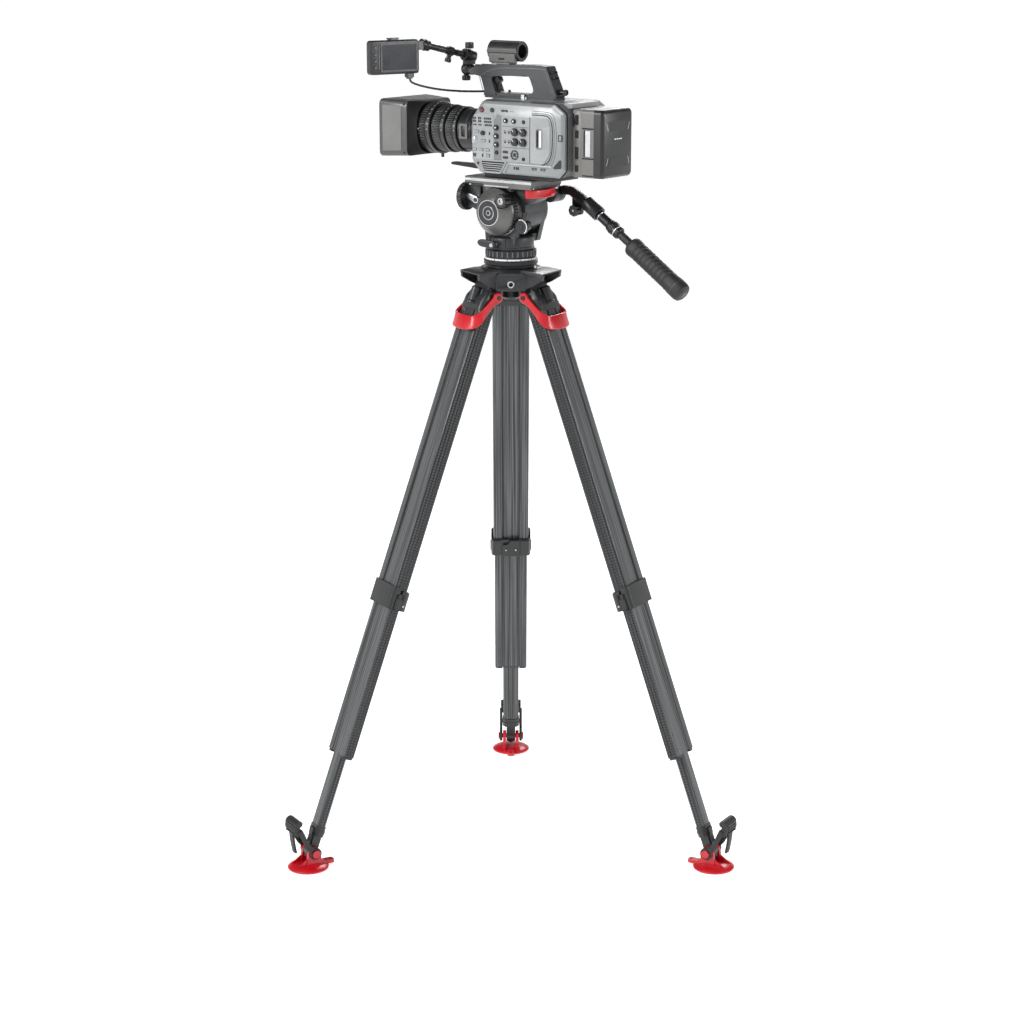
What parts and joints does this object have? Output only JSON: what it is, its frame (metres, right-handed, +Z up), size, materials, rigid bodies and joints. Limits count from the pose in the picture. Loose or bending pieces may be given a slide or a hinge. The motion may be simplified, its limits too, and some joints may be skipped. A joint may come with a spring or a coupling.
{
  "type": "film camera on tripod",
  "caption": "Camcorder with zoom lens, hood, side monitor and battery on a fluid head and a telescopic carbon tripod with pivoting feet.",
  "frame": {"origin": "floor level under the centre of the whole object", "axes": "+Z up; one tripod leg points along +Y; at rest the lens points 142 degrees round from +X"},
  "size_m": [0.8652, 0.754, 1.5579],
  "materials": {
    "black_metal": "black painted casting, fine texture",
    "dark_grey_metal": "dark grey painted casting, satin",
    "mid_grey_metal": "mid grey hammered paint",
    "body_silver": "light silver-grey fine-grain paint",
    "body_dark": "grey fine-grain paint",
    "black_plastic": "black moulded plastic",
    "red_plastic": "saturated red, satin",
    "carbon": "carbon fibre laminate, satin clear coat",
    "silver_metal": "bare satin metal",
    "rubber": "black soft-touch rubber"
  },
  "bodies": {
    "hub": {"hub_casting": "black_metal"},
    "left_leg": {"left_shoulder": "dark_grey_metal", "left_upper_tube": "carbon", "left_mid_clamp": "black_plastic"},
    "left_brake_lever": {"left_brake_lever": "red_plastic"},
    "left_middle_tube": {"left_middle_tube": "carbon"},
    "left_lower_tube": {"left_lower_tube": "carbon"},
    "left_foot_pad": {"left_foot_pad": "red_plastic"},
    "left_foot_latch": {"left_foot_latch": "rubber"},
    "right_leg": {"right_shoulder": "dark_grey_metal", "right_upper_tube": "carbon", "right_mid_clamp": "black_plastic"},
    "right_brake_lever": {"right_brake_lever": "red_plastic"},
    "right_middle_tube": {"right_middle_tube": "carbon"},
    "right_lower_tube": {"right_lower_tube": "carbon"},
    "right_foot_pad": {"right_foot_pad": "red_plastic"},
    "right_foot_latch": {"right_foot_latch": "rubber"},
    "back_leg": {"back_shoulder": "dark_grey_metal", "back_upper_tube": "carbon", "back_mid_clamp": "black_plastic"},
    "back_brake_lever": {"back_brake_lever": "red_plastic"},
    "back_middle_tube": {"back_middle_tube": "carbon"},
    "back_lower_tube": {"back_lower_tube": "carbon"},
    "back_foot_pad": {"back_foot_pad": "red_plastic"},
    "back_foot_latch": {"back_foot_latch": "rubber"},
    "head_base": {"level_base": "black_metal"},
    "pan_drag_ring": {"pan_drag_ring": "black_plastic"},
    "pan": {"pan_housing": "dark_grey_metal", "side_cap": "mid_grey_metal"},
    "level_lever": {"level_lever": "black_plastic"},
    "pan_brake_lever": {"pan_brake_lever": "dark_grey_metal"},
    "tilt_drag_ring": {"tilt_drag_ring": "black_plastic"},
    "side_knob": {"side_knob": "black_plastic"},
    "tilt": {"tilt_drum": "dark_grey_metal"},
    "counterbalance_dial": {"counterbalance_dial": "black_plastic"},
    "tilt_brake_lever": {"tilt_brake_lever": "silver_metal"},
    "plate_lock_lever": {"plate_lock_lever": "red_plastic"},
    "camera": {"camera_plate": "mid_grey_metal", "base_adapter": "black_metal", "camera_body": "body_dark", "camera_left_panel": "body_silver", "top_handle": "dark_grey_metal", "mic_holder": "black_plastic", "battery_adapter": "mid_grey_metal", "lens_barrel": "black_metal", "lens_hood": "black_plastic", "rod_clamp": "black_metal", "monitor_rod": "dark_grey_metal", "monitor_cable": "rubber"},
    "pan_bar": {"pan_bar_bracket": "black_metal", "pan_bar_tube": "black_metal"},
    "pan_bar_grip": {"pan_bar_grip": "rubber"},
    "pan_bar_clamp_knob": {"pan_bar_clamp_knob": "black_plastic"},
    "iris_ring": {"iris_ring": "black_plastic"},
    "zoom_ring": {"zoom_ring": "black_plastic"},
    "focus_ring": {"focus_ring": "black_plastic"},
    "battery": {"battery": "black_plastic"},
    "record_button": {"record_button": "red_plastic"},
    "rod_clamp_knob": {"rod_clamp_knob": "black_plastic"},
    "monitor": {"monitor": "black_plastic"}
  },
  "joints": [
    {"name": "left_leg_spread", "type": "hinge", "parent": "hub", "child": "left_leg", "pos_m": [-0.04503, -0.1385, 1.10895], "axis": [0.5, -0.866, 0], "range_deg": [0, 19]},
    {"name": "left_brake_release", "type": "hinge", "parent": "left_leg", "child": "left_brake_lever", "pos_m": [-0.04467, -0.13829, 1.07794], "axis": [0.5, -0.866, 0], "range_deg": [-45, 0]},
    {"name": "left_middle_extend", "type": "slide", "parent": "left_leg", "child": "left_middle_tube", "axis": [-0.2962, -0.171, -0.9397], "range_m": [-0.28, 0.11]},
    {"name": "left_lower_extend", "type": "slide", "parent": "left_middle_tube", "child": "left_lower_tube", "axis": [-0.2962, -0.171, -0.9397], "range_m": [-0.13, 0.24]},
    {"name": "left_foot_tilt", "type": "hinge", "parent": "left_lower_tube", "child": "left_foot_pad", "pos_m": [-0.38418, -0.33431, 0.033], "axis": [0.5, -0.866, 0], "range_deg": [-15, 15]},
    {"name": "left_latch_swing", "type": "hinge", "parent": "left_foot_pad", "child": "left_foot_latch", "pos_m": [-0.38418, -0.33431, 0.033], "axis": [0.5, -0.866, 0], "range_deg": [-15, 0]},
    {"name": "right_leg_spread", "type": "hinge", "parent": "hub", "child": "right_leg", "pos_m": [0.04503, -0.1385, 1.10895], "axis": [0.5, 0.866, 0], "range_deg": [0, 19]},
    {"name": "right_brake_release", "type": "hinge", "parent": "right_leg", "child": "right_brake_lever", "pos_m": [0.04467, -0.13829, 1.07794], "axis": [0.5, 0.866, 0], "range_deg": [-45, 0]},
    {"name": "right_middle_extend", "type": "slide", "parent": "right_leg", "child": "right_middle_tube", "axis": [0.2962, -0.171, -0.9397], "range_m": [-0.28, 0.11]},
    {"name": "right_lower_extend", "type": "slide", "parent": "right_middle_tube", "child": "right_lower_tube", "axis": [0.2962, -0.171, -0.9397], "range_m": [-0.13, 0.24]},
    {"name": "right_foot_tilt", "type": "hinge", "parent": "right_lower_tube", "child": "right_foot_pad", "pos_m": [0.38418, -0.33431, 0.033], "axis": [0.5, 0.866, 0], "range_deg": [-15, 15]},
    {"name": "right_latch_swing", "type": "hinge", "parent": "right_foot_pad", "child": "right_foot_latch", "pos_m": [0.38418, -0.33431, 0.033], "axis": [0.5, 0.866, 0], "range_deg": [-15, 0]},
    {"name": "back_leg_spread", "type": "hinge", "parent": "hub", "child": "back_leg", "pos_m": [0, -0.0605, 1.10895], "axis": [-1, 0, 0], "range_deg": [0, 19]},
    {"name": "back_brake_release", "type": "hinge", "parent": "back_leg", "child": "back_brake_lever", "pos_m": [0, -0.06092, 1.07794], "axis": [-1, 0, 0], "range_deg": [-45, 0]},
    {"name": "back_middle_extend", "type": "slide", "parent": "back_leg", "child": "back_middle_tube", "axis": [0, 0.342, -0.9397], "range_m": [-0.28, 0.11]},
    {"name": "back_lower_extend", "type": "slide", "parent": "back_middle_tube", "child": "back_lower_tube", "axis": [0, 0.342, -0.9397], "range_m": [-0.13, 0.24]},
    {"name": "back_foot_tilt", "type": "hinge", "parent": "back_lower_tube", "child": "back_foot_pad", "pos_m": [0, 0.33111, 0.033], "axis": [-1, 0, 0], "range_deg": [-15, 15]},
    {"name": "back_latch_swing", "type": "hinge", "parent": "back_foot_pad", "child": "back_foot_latch", "pos_m": [0, 0.33111, 0.033], "axis": [-1, 0, 0], "range_deg": [-15, 0]},
    {"name": "head_level", "type": "hinge", "parent": "hub", "child": "head_base", "pos_m": [0, -0.1125, 1.12895], "axis": [-0.6157, -0.788, 0], "range_deg": [-5, 5]},
    {"name": "pan_drag", "type": "hinge", "parent": "head_base", "child": "pan_drag_ring", "pos_m": [0, -0.1125, 1.15025], "axis": [0, 0, 1], "continuous": true},
    {"name": "pan", "type": "hinge", "parent": "head_base", "child": "pan", "pos_m": [0, -0.1125, 1.12895], "axis": [0, 0, 1], "continuous": true},
    {"name": "level_release", "type": "hinge", "parent": "pan", "child": "level_lever", "pos_m": [0.02322, -0.17861, 1.21295], "axis": [-0.6157, -0.788, 0], "range_deg": [0, 25]},
    {"name": "pan_brake", "type": "hinge", "parent": "pan", "child": "pan_brake_lever", "pos_m": [-0.03316, -0.1517, 1.17495], "axis": [-0.6157, -0.788, 0], "range_deg": [-30, 30]},
    {"name": "tilt_drag", "type": "hinge", "parent": "pan", "child": "tilt_drag_ring", "pos_m": [-0.02081, -0.13914, 1.23695], "axis": [-0.6157, -0.788, 0], "continuous": true},
    {"name": "side_knob_turn", "type": "hinge", "parent": "pan", "child": "side_knob", "pos_m": [-0.00835, -0.16867, 1.26045], "axis": [-0.6157, -0.788, 0], "continuous": true},
    {"name": "tilt", "type": "hinge", "parent": "pan", "child": "tilt", "pos_m": [0, -0.1125, 1.23695], "axis": [-0.6157, -0.788, 0], "range_deg": [-30, 40]},
    {"name": "counterbalance", "type": "hinge", "parent": "tilt", "child": "counterbalance_dial", "pos_m": [-0.07976, -0.08953, 1.25995], "axis": [-0.788, 0.6157, 0], "continuous": true},
    {"name": "tilt_brake", "type": "hinge", "parent": "tilt", "child": "tilt_brake_lever", "pos_m": [-0.06367, -0.10629, 1.25495], "axis": [-0.6157, -0.788, 0], "range_deg": [-25, 0]},
    {"name": "plate_lock", "type": "hinge", "parent": "tilt", "child": "plate_lock_lever", "pos_m": [0.07432, -0.13757, 1.12895], "axis": [0, 0, 1], "range_deg": [0, 30]},
    {"name": "plate_slide", "type": "slide", "parent": "tilt", "child": "camera", "axis": [-0.788, 0.6157, 0], "range_m": [-0.04, 0.04]},
    {"name": "pan_bar_angle", "type": "hinge", "parent": "tilt", "child": "pan_bar", "pos_m": [0.05043, -0.15191, 1.26645], "axis": [0.6157, 0.788, 0], "range_deg": [-20, 30]},
    {"name": "pan_bar_extend", "type": "slide", "parent": "pan_bar", "child": "pan_bar_grip", "axis": [0.6494, -0.5074, -0.5664], "range_m": [-0.026, 0.02]},
    {"name": "pan_bar_clamp", "type": "hinge", "parent": "pan_bar", "child": "pan_bar_clamp_knob", "pos_m": [0.12334, -0.13818, 1.23895], "axis": [-0.6157, -0.788, 0], "continuous": true},
    {"name": "iris_turn", "type": "hinge", "parent": "camera", "child": "iris_ring", "pos_m": [0, -0.1125, 1.38195], "axis": [-0.788, 0.6157, 0], "range_deg": [-40, 40]},
    {"name": "zoom_turn", "type": "hinge", "parent": "camera", "child": "zoom_ring", "pos_m": [0, -0.1125, 1.38195], "axis": [-0.788, 0.6157, 0], "range_deg": [-45, 45]},
    {"name": "focus_turn", "type": "hinge", "parent": "camera", "child": "focus_ring", "pos_m": [0, -0.1125, 1.38195], "axis": [-0.788, 0.6157, 0], "range_deg": [-150, 150]},
    {"name": "battery_lift", "type": "slide", "parent": "camera", "child": "battery", "axis": [0, 0, 1], "range_m": [0, 0.07]},
    {"name": "record_press", "type": "slide", "parent": "camera", "child": "record_button", "axis": [0.6157, 0.788, 0], "range_m": [0, 0.0015], "stiffness_N_per_m": 250},
    {"name": "rod_clamp_turn", "type": "hinge", "parent": "camera", "child": "rod_clamp_knob", "pos_m": [-0.07801, -0.05155, 1.53295], "axis": [0, 0, 1], "continuous": true},
    {"name": "monitor_tilt", "type": "hinge", "parent": "camera", "child": "monitor", "pos_m": [-0.16072, -0.11766, 1.54336], "axis": [-0.7512, -0.6235, 0.2168], "range_deg": [-35, 35], "deforming": ["monitor_cable"]}
  ]
}
